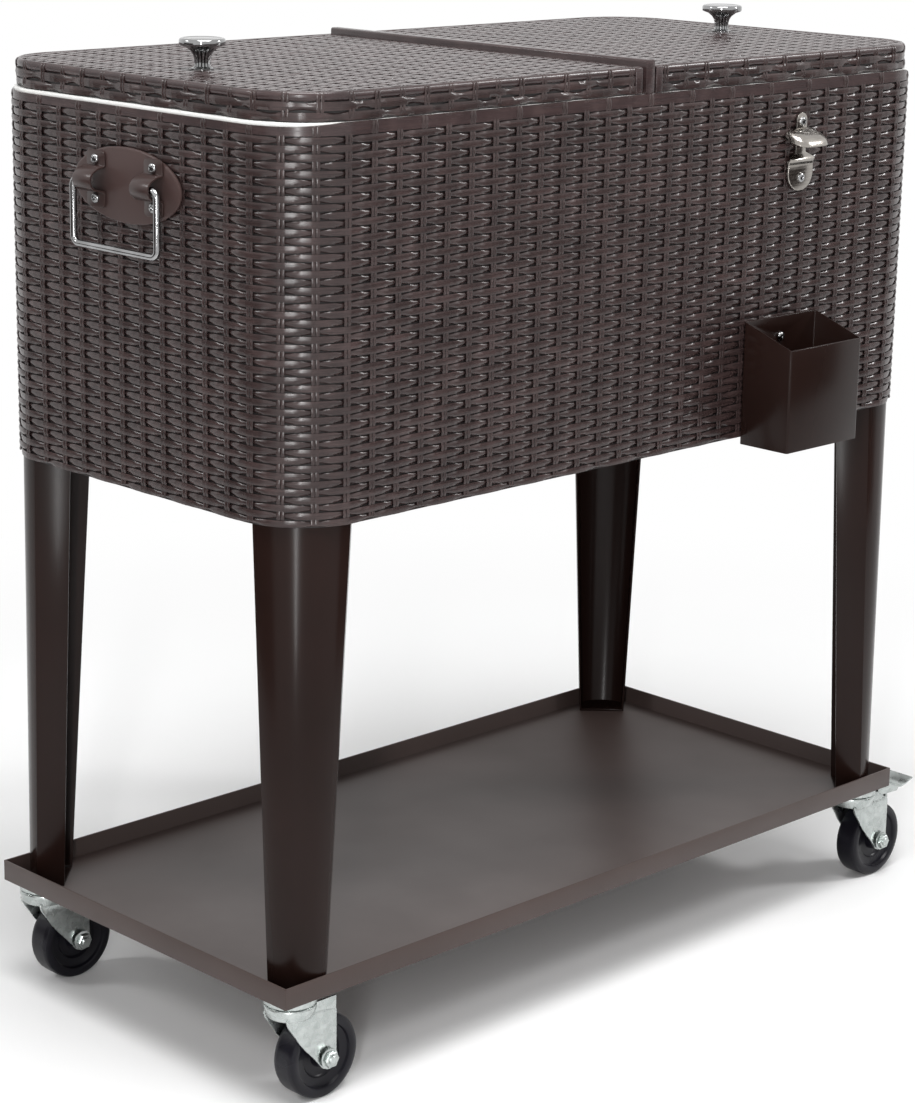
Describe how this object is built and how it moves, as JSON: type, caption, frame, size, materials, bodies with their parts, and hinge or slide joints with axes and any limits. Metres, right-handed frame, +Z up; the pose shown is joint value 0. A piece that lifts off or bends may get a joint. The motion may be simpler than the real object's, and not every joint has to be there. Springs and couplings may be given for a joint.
{
  "type": "rolling patio cooler",
  "caption": "Woven insulated tub on sheet legs and swivel casters, with lids opening from each end, bail handles, a bottle opener, a cap catcher and a low shelf tray.",
  "frame": {"origin": "on the floor, under the middle of the whole object's outline", "axes": "+X along the length, towards the casters with brakes; -Y to the front, which has the opener and the cap catcher; +Z up"},
  "size_m": [0.826, 0.4522, 0.8183],
  "materials": {
    "woven_resin": "satin",
    "foam": "matte",
    "white_plastic": "gloss",
    "polished_steel": "polished",
    "brown_enamel": "satin",
    "dark_enamel": "gloss",
    "zinc_plate": "satin",
    "black_plastic": "satin"
  },
  "bodies": {
    "cart": {"tub_shell": "woven_resin", "centre_bridge": "woven_resin", "tub_floor_foam": "foam", "tub_front_foam": "foam", "tub_back_foam": "foam", "tub_left_foam": "foam", "tub_right_foam": "foam", "tub_liner": "white_plastic", "left_hinge_rod": "polished_steel", "right_hinge_rod": "polished_steel", "bottle_opener": "polished_steel", "opener_top_screw": "polished_steel", "opener_bottom_screw": "polished_steel", "catcher_screw": "polished_steel", "cap_catcher": "brown_enamel", "shelf_tray": "brown_enamel", "drain_spout": "black_plastic", "drain_nut": "black_plastic", "left_handle_plate": "brown_enamel", "left_handle_front_bracket": "brown_enamel", "left_handle_back_bracket": "brown_enamel", "right_handle_plate": "brown_enamel", "right_handle_front_bracket": "brown_enamel", "right_handle_back_bracket": "brown_enamel", "front_left_leg": "dark_enamel", "front_left_caster_mount": "zinc_plate", "front_right_leg": "dark_enamel", "front_right_caster_mount": "zinc_plate", "back_left_leg": "dark_enamel", "back_left_caster_mount": "zinc_plate", "back_right_leg": "dark_enamel", "back_right_caster_mount": "zinc_plate"},
    "left_lid": {"left_lid_shell": "woven_resin", "left_lid_foam": "foam", "left_lid_liner": "white_plastic", "left_lid_knob": "polished_steel"},
    "left_bail_handle": {"left_bail": "polished_steel"},
    "right_lid": {"right_lid_shell": "woven_resin", "right_lid_foam": "foam", "right_lid_liner": "white_plastic", "right_lid_knob": "polished_steel"},
    "right_bail_handle": {"right_bail": "polished_steel"},
    "front_left_fork": {"front_left_caster_fork": "zinc_plate", "front_left_caster_axle": "zinc_plate"},
    "front_left_wheel": {"front_left_caster_wheel": "black_plastic"},
    "front_right_fork": {"front_right_caster_fork": "zinc_plate", "front_right_caster_axle": "zinc_plate"},
    "front_right_wheel": {"front_right_caster_wheel": "black_plastic"},
    "front_right_brake": {"front_right_brake_pedal": "zinc_plate"},
    "back_left_fork": {"back_left_caster_fork": "zinc_plate", "back_left_caster_axle": "zinc_plate"},
    "back_left_wheel": {"back_left_caster_wheel": "black_plastic"},
    "back_right_fork": {"back_right_caster_fork": "zinc_plate", "back_right_caster_axle": "zinc_plate"},
    "back_right_wheel": {"back_right_caster_wheel": "black_plastic"},
    "back_right_brake": {"back_right_brake_pedal": "zinc_plate"},
    "drain_cap_body": {"drain_cap": "black_plastic"}
  },
  "joints": [
    {"name": "left_lid_hinge", "type": "hinge", "parent": "cart", "child": "left_lid", "pos_m": [-0.031, 0.01575, 0.787], "axis": [0, 1, 0], "range_deg": [0, 85]},
    {"name": "left_bail_pivot", "type": "hinge", "parent": "cart", "child": "left_bail_handle", "pos_m": [-0.408, 0.01575, 0.7127], "axis": [0, 1, 0], "range_deg": [0, 170]},
    {"name": "right_lid_hinge", "type": "hinge", "parent": "cart", "child": "right_lid", "pos_m": [0.003, 0.01575, 0.787], "axis": [0, -1, 0], "range_deg": [0, 85]},
    {"name": "right_bail_pivot", "type": "hinge", "parent": "cart", "child": "right_bail_handle", "pos_m": [0.38, 0.01575, 0.7127], "axis": [0, -1, 0], "range_deg": [0, 170]},
    {"name": "front_left_swivel", "type": "hinge", "parent": "cart", "child": "front_left_fork", "pos_m": [-0.3705, -0.14385, 0.0872], "axis": [0, 0, 1], "continuous": true},
    {"name": "front_left_wheel_spin", "type": "hinge", "parent": "front_left_fork", "child": "front_left_wheel", "pos_m": [-0.3435, -0.14385, 0.0355], "axis": [0, 1, 0], "continuous": true},
    {"name": "front_right_swivel", "type": "hinge", "parent": "cart", "child": "front_right_fork", "pos_m": [0.3425, -0.14385, 0.0872], "axis": [0, 0, 1], "continuous": true},
    {"name": "front_right_wheel_spin", "type": "hinge", "parent": "front_right_fork", "child": "front_right_wheel", "pos_m": [0.3695, -0.14385, 0.0355], "axis": [0, 1, 0], "continuous": true},
    {"name": "front_right_brake_pivot", "type": "hinge", "parent": "front_right_fork", "child": "front_right_brake", "pos_m": [0.3715, -0.14385, 0.0765], "axis": [0, 1, 0], "range_deg": [0, 10]},
    {"name": "back_left_swivel", "type": "hinge", "parent": "cart", "child": "back_left_fork", "pos_m": [-0.3705, 0.17535, 0.0872], "axis": [0, 0, 1], "continuous": true},
    {"name": "back_left_wheel_spin", "type": "hinge", "parent": "back_left_fork", "child": "back_left_wheel", "pos_m": [-0.3435, 0.17535, 0.0355], "axis": [0, 1, 0], "continuous": true},
    {"name": "back_right_swivel", "type": "hinge", "parent": "cart", "child": "back_right_fork", "pos_m": [0.3425, 0.17535, 0.0872], "axis": [0, 0, 1], "continuous": true},
    {"name": "back_right_wheel_spin", "type": "hinge", "parent": "back_right_fork", "child": "back_right_wheel", "pos_m": [0.3695, 0.17535, 0.0355], "axis": [0, 1, 0], "continuous": true},
    {"name": "back_right_brake_pivot", "type": "hinge", "parent": "back_right_fork", "child": "back_right_brake", "pos_m": [0.3715, 0.17535, 0.0765], "axis": [0, 1, 0], "range_deg": [0, 10]},
    {"name": "drain_cap_slide", "type": "slide", "parent": "cart", "child": "drain_cap_body", "axis": [0, 1, 0], "range_m": [0, 0.03]}
  ]
}
